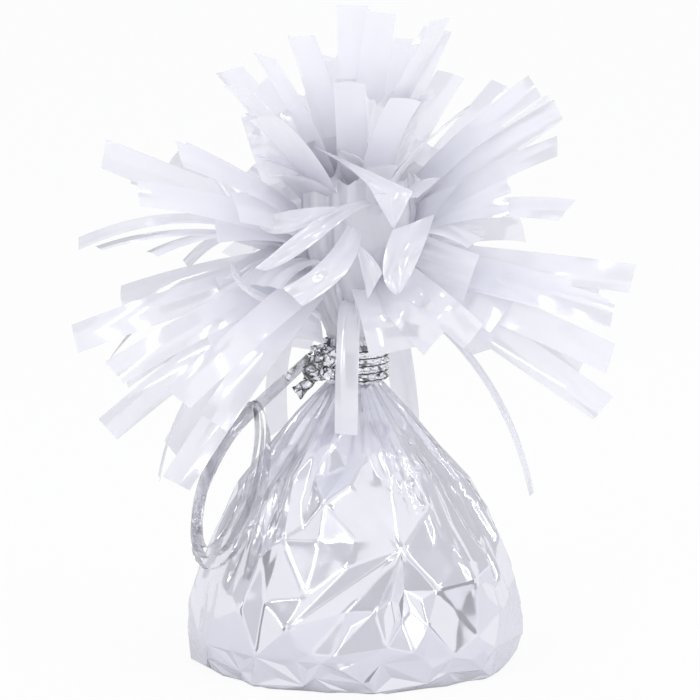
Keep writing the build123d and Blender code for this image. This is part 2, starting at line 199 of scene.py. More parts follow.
# Creases of the crumpled front. Each corner has its bearing, its share of the way from the belly to the
# neck and how far the film stands off its mean shape there. The net's columns and rows frame them.
CREASE_CORNERS = {
    "a": (288, 0.424, 1.6), "b": (300, 0.265, 0.7), "c": (255, 0.591, 1.2), "d": (290, 0.617, 0.2),
    "e": (312, 0.692, 1.3), "f": (267, 0.659, 0.8), "g": (248, 0.13, 1.4), "h": (280, 0.065, 1.0),
    "i": (282, 0.244, 1.2), "j": (294, 0.134, 1.1), "k": (263, 0.03, 0.4), "l": (254, 0.448, -0.9),
    "m": (271, 0.454, -0.4), "n": (268, 0.364, -0.6), "o": (267, 0.2, 0.5), "p": (277, 0.196, -0.4),
    "q": (289, 0.035, 0.5), "r": (255, 0.03, -0.2), "s": (308, 0.166, -0.8), "t": (264, 0.708, -0.3),
    "u": (318, 0.276, 1.0), "v": (276, 0.749, 0.6), "w": (329, 0.32, 0.7), "x": (220, 0.393, -0.6),
    "y": (256, 0.808, -0.4), "z": (228, 0.171, 0.6), "A": (252, 0.245, -0.5), "B": (246, 0.489, -1.2),
    "C": (245, 0.662, -0.8), "D": (243, 0.771, 0.5), "E": (240, 0.448, 1.0), "F": (235, 0.678, 0.9),
    "G": (236, 0.217, -0.8), "H": (221, 0.65, -0.6), "I": (231, 0.401, 0.6), "J": (288, 0.27, -0.7),
    "K": (286, 0.153, -0.6), "L": (314, 0.358, 0.8), "M": (321, 0.504, -1.0), "N": (307, 0.562, 1.0),
    "O": (312, 0.411, 0.4), "P": (316, 0.06, -0.6), "Q": (314, 0.796, -0.7), "R": (330, 0.128, -0.5),
    "S": (291, 0.773, 0.5),
}
CREASES = (
    "cf", "fd", "de", "da", "ca", "cm", "ma", "mn", "ng", "ag", "ft", "cl", "lA", "Ag", "lB", "BC", "CD",
    "BE", "EF", "EG", "go", "op", "pa", "pk", "ph", "ai", "ih", "hq", "Jj", "Kj", "jq", "jb", "aJ", "aN",
    "eN", "NO", "NM", "ML", "Lu", "LO", "us", "sP", "uR", "vd", "Sd", "Se", "Qe", "tv", "IE", "IG", "zG",
    "Iz", "gr", "rk",
)
FRONT_FRAME = (19, 30, 2, 8)
CHART_SCALE = 30
INSIDE_ONLY = 1
SAME_POINT = 1e-6

# Strips of the fringe by the side of the tuft that they leave: bearing and rise of the tip as seen
# from the tuft's centre, turn of the face from lying flat, bow of the middle, shares of reach and width.
FRINGE = {
    "fringe_crown": (
        (267, 79, 0, 2, 0.983), (247, 61, -6, 3), (238, 54, 10, 2), (235, 45, 14, 2), (247, 38, 0, 3),
        (286, 71, 4, 2), (304, 61, -8, 3), (320, 67, -14, 2), (268, 51, 0, 4, 0.931),
        (286, 47, -4, 3, 0.914),
    ),
    "fringe_crown_back": (
        (116, 38, 8, 2), (98, 47, 0, 3), (74, 54, -8, 2), (61, 42, -12, 2), (90, 72, 0, 2, 0.966),
        (134, 46, 14, 2, 0.966), (48, 62, -14, 2, 0.966), (80, 36, 6, 3),
    ),
    "fringe_upper_left": (
        (176, 25, 82, 2), (189, 7, 10, 6), (206, 8, 14, 4), (150, 19, 64, 2), (136, 22, 52, 2),
        (227, 29, 46, 2), (218, 20, 60, 3),
    ),
    "fringe_lower_left": (
        (152, -9, 62, 2), (184, -13, 72, 3, 1.034), (166, -21, 14, 6), (160, -25, 66, 2),
        (209, -17, 60, 3), (186, -32, 72, 2, 1.052), (230, -20, 48, 3), (174, -47, 10, 6, 1.052, 0.45),
        (204, -46, 62, 2), (226, -33, 44, 3, 0.845), (160, -44, 60, 3),
    ),
    "fringe_upper_right": (
        (298, 39, -34, 3), (44, 39, -62, 2), (330, 44, -56, 2), (333, 38, -66, 2), (323, 30, -58, 2),
        (319, 17, -24, 4), (28, 34, -68, 2), (50, 4, -50, 3),
    ),
    "fringe_lower_right": (
        (349, 0, -72, 2), (24, -7, -70, 2), (334, -5, -66, 2), (338, -15, -70, 2), (31, -21, -68, 2),
        (347, -27, -74, 2, 1.017), (305, -12, -46, 3, 0.724), (330, -46, -10, 6, 1.034, 0.45),
        (16, -25, -64, 3, 0.948),
    ),
    "fringe_front": (
        (284, 20, 14, 7, 0.776), (243, 21, 6, 5, 0.828), (247, 6, 18, 5, 0.759),
        (256, -6, 12, 4, 0.655), (296, 6, -20, 5, 0.759), (264, -60, 0, 2, 0.621, 0.75),
        (290, -30, -16, 3, 0.466, 1.65),
    ),
}

# Rows of strips on the hidden side: rise, first bearing, count, step and bow
BACK_ROWS = ((18, 60, 3, 24, 4), (-3, 68, 3, 25, 6), (-24, 58, 4, 23, 6), (-44, 74, 3, 20, 7))
BACK_TURN = 26

# The front fan's first strips are folded over the tuft as flaps: points along one edge, then along the
# other. The flaps and the strips left have the film of four cut strips.
FOLDED_STRIPS = 5
FRONT_STRIPS = 4
FLAP_CREASE = 0.7
FLAPS = (
    (((-1.5, -20, 94), (-7, -28, 87.5), (-14.5, -33, 83)),
     ((1, -20, 93), (-1.5, -29, 86), (-10.5, -34, 79.5))),
    (((3.5, -16, 99), (-4.5, -22, 97.5), (-12, -27, 93), (-20, -29, 86.5)),
     ((4, -16, 98), (-3, -23, 95), (-10, -28, 90), (-18, -30, 86))),
    (((-18.5, -20, 96), (-10, -24, 98), (-3.5, -22, 98)),
     ((-19.5, -21, 94), (-14, -25, 93), (-4.5, -23, 97))),
    (((-8.5, -18, 110), (0.5, -24, 106.5), (11.5, -30, 102)),
     ((-8.5, -18, 109.8), (0, -25, 105), (3.5, -31, 101.5))),
    (((3.5, -31, 101.5), (5.5, -31, 98), (7.5, -30, 94.5)),
     ((11.5, -30, 102), (9.5, -31, 98), (7.6, -30, 94.5))),
    (((7.5, -24, 93.5), (5.5, -30, 86), (8, -32, 81.5)),
     ((16, -22, 96.5), (12.5, -29, 88), (9, -32, 82))),
    (((-22.5, -14, 90), (-26.5, -12, 98.5), (-32.5, -8, 107.5)),
     ((-21.5, -14, 90.5), (-21.5, -13, 98.5), (-24, -10, 103))),
    (((-7, -8, 72.5), (-16.5, -18, 75.5), (-30, -22, 72)),
     ((-6.5, -8, 68), (-17.5, -19, 70), (-28, -24, 63))),
    (((-23, -20, 116), (-21, -20, 109.5), (-18.5, -19, 101.5)),
     ((-13, -18, 117), (-11, -19, 110.5), (-9.5, -19, 105))),
    (((0, -22, 90.5), (1, -23, 86.5), (2.5, -24, 79.5)),
     ((0.5, -22, 90.5), (3.5, -24, 88), (5.5, -25, 85))),
    (((-25, -24, 87), (-18.5, -20, 80), (-10.5, -12, 76.5), (-7, -9, 73.5)),
     ((-25, -25, 85), (-19, -21, 78.5), (-11.5, -13, 75), (-7.5, -10, 71.5))),
)

# Leaves of uncut sheet that stand between the fans: bearing, rise and turn
LEAVES = (
    (6, 36, -60), (12, 60, -60), (12, 12, -80), (48, 78, -40), (132, 60, 0), (132, 12, 40), (144, -12, 60),
    (162, 70, 60), (162, 24, 80), (180, 48, 40), (210, 36, -60), (198, -12, 60), (228, 0, 0), (324, 0, -80),
    (348, 24, -40), (342, 48, 80),
)

# Half sections of the gathered head and of the cup in front of it: height, radius and pleat depth
HEAD = (
    (NECK_TOP - 1, 5.4, 0.7), (71, 6.2, 1.0), (75, 9.0, 1.5), (80, 11.3, 1.9), (86, 11.0, 2.0),
    (92, 7.0, 2.0),
)
HEAD_PLEATS = 22
CUP = (
    (69.2, 5.9, 0.4), (73, 7.4, 0.8), (77.5, 10.5, 1.3), (83, 14, 1.7), (89, 16.5, 2.0), (96, 17.5, 2.2),
    (103, 16.5, 2.4),
)
CUP_BEARINGS = (186, 354)
CUP_PLEAT = 17

# Divisions along and across the grids that film and ribbon are laid from
STRIP_GRID = (30, 6)
UNDER_GRID = (24, 6)
WEB_GRID = (14, 10)
FLAP_GRID = (20, 12)
LEAF_GRID = (22, 28)
CUP_GRID = (200, 30)
HEAD_GRID = (8 * HEAD_PLEATS, 26)
TIE_GRID = (900, 9)
TAIL_GRID = (56, 4)

# Folds sharper than these angles, in degrees, keep a sharp edge
WRAP_FOLD = 28
STRIP_FOLD = 40
HEAD_FOLD = 60
TIE_FOLD = 40
KNOT_FOLD = 8
HANK_FOLD = 50

# Lumps of the knot: place from its middle and half sizes
LUMPS = (
    ((0, 0, 0), (2.7, 2.7, 3.5)),
    ((-1.9, -1.5, -1.5), (2.3, 1.9, 1.9)),
    ((0.6, -1.7, 1.5), (1.9, 1.6, 2.0)),
    ((-1.4, -1.2, 2.2), (1.7, 1.6, 1.6)),
    ((1.2, -1.6, -2.2), (1.7, 1.4, 1.5)),
)

# The strips' film lets light through. The wrap's is a little greyer and more metallic.
STRIP_PEARL = {"base": (0.92, 0.92, 0.965), "rough": 0.07, "crinkle": 0.22, "metal": 0.32, "glow": 0.45}
WRAP_PEARL = {"base": (0.75, 0.75, 0.81), "rough": 0.06, "crinkle": 0.1, "metal": 0.55, "glow": 0}

# Camera, in metres, degrees and millimetres of lens
CAMERA_TARGET = Vector((-1.05, 0, 65.6)) * MM
CAMERA_DISTANCE = 0.72
CAMERA_RISE = 8.5
CAMERA_LENS = 177
SENSOR_WIDTH = 36

# Lamps, in metres and watts: name, place, size and power
LAMPS = (
    ("key", (-0.6, -0.75, 0.55), (0.26, 0.26), 1.4),
    ("side", (0.75, -0.45, 0.5), (0.14, 0.4), 1.2),
    ("front", (0.15, -1.2, 0.2), (0.5, 0.5), 2.5),
    ("top", (0.05, 0.15, 1.0), (0.3, 0.25), 0.7),
)
FILL = 0.95

# The floor: its width in metres, and how much of it is plain white to the camera and in reflections
FLOOR_SIZE = 14
FLOOR_WHITE = 0.93
FLOOR_MIRRORED = 0.1

# Cards on a dome round the object, between which the white of the room shows: bearing, rise, brightness.
# The glossy film and the silver reflect grey ones, wide grey ones and narrow bright tubes.
CARD_DISTANCE = 1.6
CARD_SIZE = (0.42, 0.42)
CARDS = (
    (200, 8, 0.05), (228, 14, 0.58), (262, 22, 0.52), (292, 10, 0.38), (318, 18, 0.64), (345, 6, 0.06),
    (215, 36, 0.64), (250, 44, 0.45), (284, 40, 0.7), (312, 48, 0.45), (340, 36, 0.64),
    (180, 46, 0.64), (230, 64, 0.52), (275, 66, 0.64), (310, 74, 0.45), (0, 62, 0.58), (90, 70, 0.64),
    (150, 62, 0.52), (60, 30, 0.76), (120, 30, 0.76), (15, 20, 0.64), (165, 20, 0.64),
)
WIDE_SIZE = (2.0, 0.9)
WIDE_CARDS = ((90, 4, 0.38), (16, 32, 0.54), (164, 32, 0.46))
TUBE_SIZE = (0.045, 0.7)
TUBES = (
    (236, 30, 7), (246, 34, 6), (262, 56, 7), (274, 20, 6), (300, 34, 7), (309, 30, 6), (318, 58, 6),
    (200, 50, 6), (186, 24, 6), (338, 30, 6), (352, 48, 6), (285, 74, 6),
)


# Modelling helpers


def deselect():
    """Leaves nothing selected."""
    bpy.ops.object.select_all(action="DESELECT")


def take(piece):
    """Makes a piece the only one selected, and the active one."""
    deselect()
    piece.select_set(True)
    bpy.context.view_layer.objects.active = piece
    return piece


def apply_modifier(piece, kind, **settings):
    """Adds a modifier with its settings and applies it."""
    take(piece)
    modifier = piece.modifiers.new(kind.title(), kind)
    for name, value in settings.items():
        setattr(modifier, name, value)
    bpy.ops.object.modifier_apply(modifier=modifier.name)
    return piece


def shade(piece, angle):
    """Shades a piece smooth, except at folds sharper than an angle in degrees."""
    take(piece)
    bpy.ops.object.shade_smooth_by_angle(angle=radians(angle))
    return piece


def laid_grid(name, grid, place):
    """A flat grid whose points are then laid where place(u, v) says, u and v running from 0 to 1."""
    columns, rows = grid
    deselect()
    bpy.ops.mesh.primitive_grid_add(x_subdivisions=columns, y_subdivisions=rows, size=1)
    piece = bpy.context.object
    piece.name = name
    for point in piece.data.vertices:
        point.co = place(point.co.x + 0.5, point.co.y + 0.5) * MM
    return piece


def joined(name, pieces):
    """Several pieces made one, under a name of its own."""
    deselect()
    for piece in pieces:
        piece.select_set(True)
    bpy.context.view_layer.objects.active = pieces[0]
    bpy.ops.object.join()
    pieces[0].name = name
    pieces[0].data.name = name
    return pieces[0]


def mesh_piece(name, points, faces):
    """A piece from its points in millimetres and its faces."""
    mesh = bpy.data.meshes.new(name)
    mesh.from_pydata([Vector(point) * MM for point in points], [], faces)
    piece = bpy.data.objects.new(name, mesh)
    bpy.context.scene.collection.objects.link(piece)
    return piece


def settle(piece, slot, finish, *nodes):
    """Gives a finished piece its material, and lets it ride on the body and stand for its nodes."""
    piece.data.materials.clear()
    piece.data.materials.append(finish)
    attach(piece, BODY)
    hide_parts(*nodes)
    return piece


def direction(bearing, rise):
    """The way that points along a bearing and a rise, in degrees."""
    flat = cos(radians(rise))
    return Vector((flat * cos(radians(bearing)), flat * sin(radians(bearing)), sin(radians(rise))))


def between(stations, share):
    """The values at a share of the way along a list of stations."""
    spot = share * (len(stations) - 1)
    low = min(int(spot), len(stations) - 2)
    return [a + (b - a) * (spot - low) for a, b in zip(stations[low], stations[low + 1])]


def zigzag(value):
    """A fold's height, up and down between 0 and 1, at a value that counts its slopes."""
    return abs(value % 2 - 1)


# Materials


class Value:
    """A socket's value in an expression: arithmetic on it adds Math nodes."""

    def __init__(self, paint, socket):
        self.paint = paint
        self.socket = socket

    def _math(self, operation, first, second):
        node = self.paint.node("ShaderNodeMath", {"operation": operation}, {0: first, 1: second})
        return Value(self.paint, node.outputs[0])

    def __add__(self, other):
        return self._math("ADD", self, other)

    __radd__ = __add__

    def __sub__(self, other):
        return self._math("SUBTRACT", self, other)

    def __rsub__(self, other):
        return self._math("SUBTRACT", other, self)

    def __mul__(self, other):
        return self._math("MULTIPLY", self, other)

    __rmul__ = __mul__

    def peak(self, other):
        return self._math("MAXIMUM", self, other)

    def fraction(self):
        return self._math("FRACT", self, 0)

    def size(self):
        return self._math("ABSOLUTE", self, 0)

    def bearing(self, other):
        """The bearing of a point whose x is this value and whose y is the other."""
        return self._math("ARCTAN2", other, self)


class Paint:
    """A node tree under construction, for a material or the world."""

    def __init__(self, owner):
        owner.use_nodes = True
        self.owner = owner
        self.tree = owner.node_tree
        self.tree.nodes.clear()

    def node(self, kind, settings=None, sockets=None):
        """Adds a node. A Value given to a socket is linked to it, and anything else is set."""
        made = self.tree.nodes.new(kind)
        for name, value in (settings or {}).items():
            if name == "stops":
                self._stops(made.color_ramp, value)
            else:
                setattr(made, name, value)
        for name, value in (sockets or {}).items():
            if isinstance(value, Value):
                self.tree.links.new(value.socket, made.inputs[name])
            else:
                made.inputs[name].default_value = value
        return made

    def _stops(self, ramp, stops):
        while len(ramp.elements) < len(stops):
            ramp.elements.new(0.5)
        for element, (position, grey) in zip(ramp.elements, stops):
            element.position = position
            element.color = (grey, grey, grey, 1)

    def out(self, node, name=0):
        return Value(self, node.outputs[name])

    def place(self):
        return self.out(self.node("ShaderNodeTexCoord"), "Object")

    def noise(self, scale, detail):
        sockets = {"Vector": self.place(), "Scale": scale, "Detail": detail}
        return self.out(self.node("ShaderNodeTexNoise", sockets=sockets))

    def cells(self, scale):
        settings = {"feature": "DISTANCE_TO_EDGE"}
        sockets = {"Vector": self.place(), "Scale": scale}
        return self.out(self.node("ShaderNodeTexVoronoi", settings, sockets), "Distance")

    def ramp(self, value, *stops):
        return self.out(self.node("ShaderNodeValToRGB", {"stops": stops}, {"Fac": value}))

    def mix(self, share, first, second):
        """A colour between two. The Mix node's colours are its sockets 6 and 7, and its colour out is 2."""
        sockets = {"Factor": share, 6: (*first, 1), 7: (*second, 1)}
        return self.out(self.node("ShaderNodeMix", {"data_type": "RGBA"}, sockets), 2)

    def bump(self, height, strength, distance):
        sockets = {"Height": height, "Strength": strength, "Distance": distance}
        return self.out(self.node("ShaderNodeBump", sockets=sockets))

    def light(self, colour, strength, kind="ShaderNodeEmission"):
        sockets = {"Color": (*colour, 1), "Strength": strength}
        return self.out(self.node(kind, sockets=sockets))

    def blend(self, share, first, second):
        return self.out(self.node("ShaderNodeMixShader", sockets={0: share, 1: first, 2: second}))

    def show(self, surface, kind="ShaderNodeOutputMaterial"):
        self.node(kind, sockets={"Surface": surface})

    def finish(self, glow=0, **sockets):
        """The material, with a surface from its socket values and a share of light that comes through."""
        named = {name.replace("_", " "): value for name, value in sockets.items()}
        surface = self.out(self.node("ShaderNodeBsdfPrincipled", sockets=named))
        if glow:
            through = self.node("ShaderNodeBsdfTranslucent", sockets={"Color": (0.95, 0.95, 0.98, 1)})
            surface = self.blend(glow, surface, self.out(through))
        self.show(surface)
        return self.owner


def new_paint(name):
    """A new material's node tree."""
    return Paint(bpy.data.materials.new(name))


def tint(colour, amount):
    """A colour made lighter or darker."""
    return tuple(channel * amount for channel in colour)


def pearl_film(name, base, rough, crinkle, metal, glow):
    """Glossy pearl-white film: a cool white with faint cloudy streaks, fine crinkles and a clear gloss."""
    paint = new_paint(name)
    cloud = paint.ramp(paint.noise(90, 2), (0.3, 0), (0.7, 1))
    return paint.finish(
        glow=glow,
        Base_Color=paint.mix(cloud, base, tint(base, 1.03)),
        Metallic=metal,
        Roughness=rough + 0.05 * paint.noise(160, 3),
        IOR=1.6,
        Coat_Weight=1.0,
        Coat_Roughness=0.03,
        Coat_IOR=1.6,
        Normal=paint.bump(paint.noise(60, 3), crinkle, 0.0006),
    )


def silver_ribbon():
    """Thin metallised ribbon, bright and half clear."""
    paint = new_paint("silver_ribbon")
    return paint.finish(
        Base_Color=paint.mix(paint.noise(200, 1), (0.72, 0.72, 0.74), (0.94, 0.94, 0.96)),
        Metallic=1.0,
        Roughness=0.05 + 0.05 * paint.noise(500, 2),
        Alpha=0.66,
        Normal=paint.bump(paint.noise(420, 2), 0.12, 0.0005),
    )


def wound_silver():
    """The same ribbon wound on the neck, with painted shade where one turn meets the next and painted shade
    and dark reflections in its tucks.
    """
    paint = new_paint("wound_silver")
    axes = paint.node("ShaderNodeSeparateXYZ", sockets={"Vector": paint.place()})
    x, y, z = (paint.out(axes, name) for name in "XYZ")
    turn = x.bearing(y) * (1 / (2 * pi))
    spot = (z * (1000 / TIE_PITCH) - turn + TIE_PHASE).fraction()
    # Painted shade: near black where one turn of the ribbon meets the next
    edge = paint.ramp((spot - 0.5).size(), (0.33, 1), (0.47, 0))
    # Painted shade and dark reflections, in patches over the tucks
    painted_tuck_dark = paint.ramp(paint.noise(560, 1), (0.4, 0.25), (0.5, 1))
    return paint.finish(
        Base_Color=paint.mix(edge * painted_tuck_dark, (0.02, 0.02, 0.022), (0.98, 0.98, 1.0)),
        Metallic=1.0,
        Roughness=0.06,
    )


def crushed_silver():
    """The ribbon crushed in the knot, with painted shade in the crevices between its small facets and
    painted shade and dark reflections in its hollows.
    """
    paint = new_paint("crushed_silver")
    # Painted shade in the crevices along the edges of the facets
    painted_crevice_shade = paint.ramp(paint.cells(480), (0.0, 0), (0.13, 1))
    # Painted shade and dark reflections, in patches for the hollows
    painted_hollow_dark = paint.ramp(paint.noise(380, 2), (0.3, 0.15), (0.5, 1))
    return paint.finish(
        Base_Color=paint.mix(painted_crevice_shade * painted_hollow_dark, (0.08, 0.08, 0.085), (0.95, 0.95, 0.97)),
        Metallic=1.0,
        Roughness=0.07,
    )


def cast_filler():
    """The slug's dull grey filler, sandy and pitted."""
    paint = new_paint("cast_filler")
    grit = paint.noise(900, 4)
    return paint.finish(
        Base_Color=paint.mix(grit, (0.52, 0.50, 0.47), (0.72, 0.70, 0.67)),
        Roughness=0.8 + 0.15 * paint.noise(300, 2),
        Normal=paint.bump(grit, 0.5, 0.0004),
    )


# The wrapped base


def bell_station(share):
    """Height, ridge radius and gather depth at a share of the way from the belly to the neck."""
    height = BELLY_HEIGHT + (NECK_HEIGHT - BELLY_HEIGHT) * share
    radius = NECK_RADIUS + (BELLY_RADIUS - NECK_RADIUS) * (1 - share**BELL_POWER)
    depth = min(HEM_GATHER + GATHER_GROWTH * share, GATHER_LIMIT * radius)
    return height, radius, depth


def net_level(row, column):
    """Height, ridge radius and gather depth of a row of the wrap's crease net, where a column meets it."""
    if row == 0:
        return 0, FOOT_RADIUS + FOOT_SPREAD, HEM_GATHER
    if row == 1:
        height = HEM_HEIGHT + HEM_WAVE * sin(4.7 * column + 0.6)
        return height, (FOOT_RADIUS + 2 * BELLY_RADIUS) / 3 + HEM_SPREAD, HEM_GATHER
    if row == len(NET_SHARES) + 2:
        return NECK_TOP, NECK_RADIUS, bell_station(1)[2]
    slack = ROW_SLACK if row in LOOSE_ROWS else 0
    return bell_station(NET_SHARES[row - 2] + slack * sin(5.3 * column + 2.1 * row))


def net_corner(row, column):
    """One corner of the net: ridges and valleys in turn, made uneven by sines of their numbers."""
    height, radius, depth = net_level(row, column)
    wander = WANDER.get(row, 0) * sin(3.1 * column + 1.9 * row)
    bearing = 180 / GATHERS * (column + wander) + GATHER_DRIFT * sin(1.2 * column) / 2
    if column % 2:
        proud = depth * (0.3 + 0.3 * sin(1.7 * column + row)) if row in LOOSE_ROWS else 0
    else:
        proud = -depth * (0.8 + 0.2 * sin(1.7 * column))
    return direction(bearing, 0) * (radius + proud) + UP * height


def chart(place):
    """A point of the wrap unrolled: its bearing, at about two degrees to a millimetre, and its height."""
    return Vector(((atan2(place.y, place.x) % (2 * pi)) * CHART_SCALE, place.z))


def front_facets(points):
    """The front's crease corners added to the points, and the facets between them and their frame."""
    first, last, low, high = FRONT_FRAME
    ring = [(low, column) for column in range(first, last)]
    ring += [(row, last) for row in range(low, high)]
    ring += [(high, column) for column in range(last, first, -1)]
    ring += [(row, first) for row in range(high, low, -1)]
    indices = [row * 2 * GATHERS + column for row, column in ring]
    edges = [(index, (index + 1) % len(ring)) for index in range(len(ring))]
    letters = list(CREASE_CORNERS)
    for bearing, share, proud in CREASE_CORNERS.values():
        height, radius, _ = bell_station(share)
        indices.append(len(points))
        points.append(direction(bearing, 0) * (radius + proud) + UP * height)
    for crease in CREASES:
        edges.append(tuple(len(ring) + letters.index(letter) for letter in crease))
    flat = [chart(points[index]) for index in indices]
    _, _, facets, origins, _, _ = delaunay_2d_cdt(flat, edges, [], INSIDE_ONLY, SAME_POINT)
    return [[indices[origins[spot][0]] for spot in facet] for facet in facets]


def crease_net():
    """The wrap's main creases as points and flat triangles, closed at the foot and the neck."""
    columns = 2 * GATHERS
    rows = len(NET_SHARES) + 3
    points = [net_corner(row, column) for row in range(rows) for column in range(columns)]
    faces = [list(range(columns))[::-1], list(range((rows - 1) * columns, rows * columns))]
    first, last, bottom, top = FRONT_FRAME
    for row in range(rows - 1):
        for column in range(columns):
            if first <= column < last and bottom <= row < top:
                continue
            after = (column + 1) % columns
            low, low_after = row * columns + column, row * columns + after
            high, high_after = low + columns, low_after + columns
            if column % 2 == 0:
                faces += [[low, low_after, high_after], [low, high_after, high]]
            else:
                faces += [[low, low_after, high], [low_after, high_after, high]]
    faces += front_facets(points)
    return points, faces


def creased_again(points, faces):
    """Splits the facets of the hem, and some others, at a point within them that is dented in or out."""
    chance = random.Random(SPLIT_SEED)
    points = list(points)
    split = []
    for face in faces:
        corners = [points[index] for index in face]
        on_hem = min(corner.z for corner in corners) < HEM_HEIGHT + 1
        if len(face) > 3 or not on_hem and chance.random() > SPLIT_SHARE:
            split.append(face)
            continue
        weights = [chance.uniform(*UNEVEN) for _ in corners]
        weighted = (corner * weight for corner, weight in zip(corners, weights))
        middle = sum(weighted, Vector()) / sum(weights)
        across = min((corners[index] - corners[index - 1]).length for index in range(3))
        out = (corners[1] - corners[0]).cross(corners[2] - corners[0]).normalized()
        dent = HEM_DENT if on_hem else FACET_DENT
        points.append(middle + out * across * chance.uniform(-1, 1) * dent)
        for index in range(3):
            split.append([face[index], face[(index + 1) % 3], len(points) - 1])
    return points, split


def push_film(piece, amount):
    """Moves the film in or out at each point by amount(place) millimetres, except at its closed ends."""
    for point in piece.data.vertices:
        if CLOSED_EDGE * MM < point.co.z < (NECK_TOP - CLOSED_EDGE) * MM:
            out = Vector((point.co.x, point.co.y, 0)).normalized()
            point.co += out * amount(point.co / MM) * MM


def slack_film(place):
    """The slight swelling of the film within its facets."""
    swell = SWELL_DEPTH * noise.noise(place * SWELL_SCALE)
    return swell + RIPPLE_DEPTH * noise.noise(place * RIPPLE_SCALE)


def neck_gathers(place):
    """The many narrow gathers that run into the neck: short in front, all the way down at the sides."""
    bearing = atan2(place.y, place.x)
    start = SIDE_START + FRONT_LIFT * max(-sin(bearing), 0) ** 3
    share = min(max((place.z - start) / NARROW_FADE, 0), 1)
    slant = bearing * NARROW_GATHERS / 2 + 2.2 * sin(2 * bearing + 1)
    slant += 1.1 * sin(5 * bearing)
    slant += 0.03 * place.z
    fold = 2 * abs((slant / pi) % 1 - 0.5)
    return NARROW_DEPTH * share * (fold - 0.5) * min(1, place.xy.length / NARROW_RADIUS)


def slug_radius(height):
    """How far out the film must stay at a height to clear the slug, which ends below the neck."""
    share = (height - BELLY_HEIGHT) / (NECK_HEIGHT - BELLY_HEIGHT)
    if share > SLUG_SHARE:
        return 0
    if share < 0:
        radius = FOOT_RADIUS + (BELLY_RADIUS - FOOT_RADIUS) * height / BELLY_HEIGHT
        return radius - HEM_GATHER - SLUG_SLACK
    _, radius, depth = bell_station(share)
    return radius - depth - SLUG_SLACK


def hold_off_slug(piece):
    """Keeps the film outside the slug and above what the weight stands on."""
    for point in piece.data.vertices:
        radius = point.co.xy.length
        least = slug_radius(point.co.z / MM) * MM
        if point.co.z > CLOSED_EDGE * MM and radius < least:
            point.co.xy *= least / radius
        point.co.z = max(point.co.z, 0)


def film_wrap(finish):
    """The sheet round the slug: long creases with flat facets between them."""
    piece = mesh_piece("wrap", *creased_again(*crease_net()))
    apply_modifier(piece, "SUBSURF", subdivision_type="SIMPLE", levels=3, render_levels=3)
    push_film(piece, slack_film)
    push_film(piece, neck_gathers)
    apply_modifier(piece, "SMOOTH", factor=0.3, iterations=1)
    hold_off_slug(piece)
    shade(piece, WRAP_FOLD)
    return settle(piece, "film", finish, "film_wrap")


# The fringe


def strip_place(
    chance, bearing, rise, turn, bow, reach_share=1, width_share=1, pleats=STRIP_PLEATS, depth=STRIP_DEPTH
):
    """Where the points of one strip lie: out of the neck, over the head, straight out to its tip."""
    out = direction(bearing, 0)
    aside = Vector((-out.y, out.x, 0))
    root_rise = 90 - (90 - rise) * ROOT_SPREAD
    root = TUFT_CENTRE + direction(bearing, root_rise) * (TUFT_RADIUS + ROOT_GAP)
    tip = TUFT_CENTRE + direction(bearing, rise) * REACH * reach_share
    width = STRIP_WIDTH * width_share
    run = (tip - root).normalized()
    facing = run.cross(aside).normalized() * cos(radians(turn)) + aside * sin(radians(turn))
    neck = out * STRAND_RADIUS + UP * (NECK_TOP + STRAND_RISE)
    guide = root - run * GUIDE_SHARE * (root - neck).length
    cup = chance.uniform(-STRIP_CUP, STRIP_CUP)
    sway = chance.uniform(-STRIP_SWAY, STRIP_SWAY)
    phase = chance.uniform(0, 2 * pi)
    twist = chance.uniform(-STRIP_TWIST, STRIP_TWIST)
    skew = chance.uniform(-STRIP_SKEW, STRIP_SKEW)
    fold = depth * chance.uniform(*UNEVEN)

    def line(u):
        if u < NECK_SHARE:
            t = u / NECK_SHARE
            return neck * (1 - t) ** 2 + guide * 2 * t * (1 - t) + root * t * t
        t = (u - NECK_SHARE) / (1 - NECK_SHARE)
        return root.lerp(tip, t) + facing * bow * 4 * t * (1 - t)

    def place(u, v):
        along = (line(min(u + LINE_STEP, 1)) - line(max(u - LINE_STEP, 0))).normalized()
        normal = (facing - along * facing.dot(along)).normalized()
        normal = Quaternion(along, radians(twist * max(u - TWIST_START, 0) / (1 - TWIST_START))) @ normal
        across = along.cross(normal)
        breadth = width * min(1, ROOT_BREADTH + BREADTH_GROWTH * u)
        fading = max(1 - u * (1.6 - 0.2 * pleats), LEAST_FOLD)
        lift = cup * (4 * (v - 0.5) ** 2 - 0.4) + sway * sin(5 * u + phase) * u * (1 - u) * 2
        lift += fold * (zigzag(2 * pleats * v + phase) - 0.5) * fading
        return line(u) + across * (v - 0.5) * breadth + normal * lift + along * skew * (v - 0.5) * u**4

    return place


def web_between(chance, first, second, uncut):
    """The uncut sheet between two strips of a fan, as far out as they lie near each other."""
    reach = uncut * WEB_MIDDLE
    edges = min(
        ((a, b) for a in (0, 1) for b in (0, 1)),
        key=lambda pair: (first(reach, pair[0]) - second(reach, pair[1])).length,
    )
    limit = uncut * chance.uniform(*UNCUT_RANGE)
    while limit > LEAST_WEB / 2 and (first(limit, edges[0]) - second(limit, edges[1])).length > WEB_LIMIT:
        limit -= UNCUT_STEP
    if limit < LEAST_WEB:
        return None
    phase = chance.uniform(0, 10)

    def place(u, v):
        start = first(u * limit, edges[0])
        end = second(u * limit, edges[1])
        out = (start + end) / 2 - TUFT_CENTRE
        pleat = noise.noise(Vector((v * 3.1, u * 1.4, phase))) * WEB_PLEAT * sin(pi * v) * u
        return start.lerp(end, v) + out.normalized() * pleat

    return laid_grid("web", WEB_GRID, place)


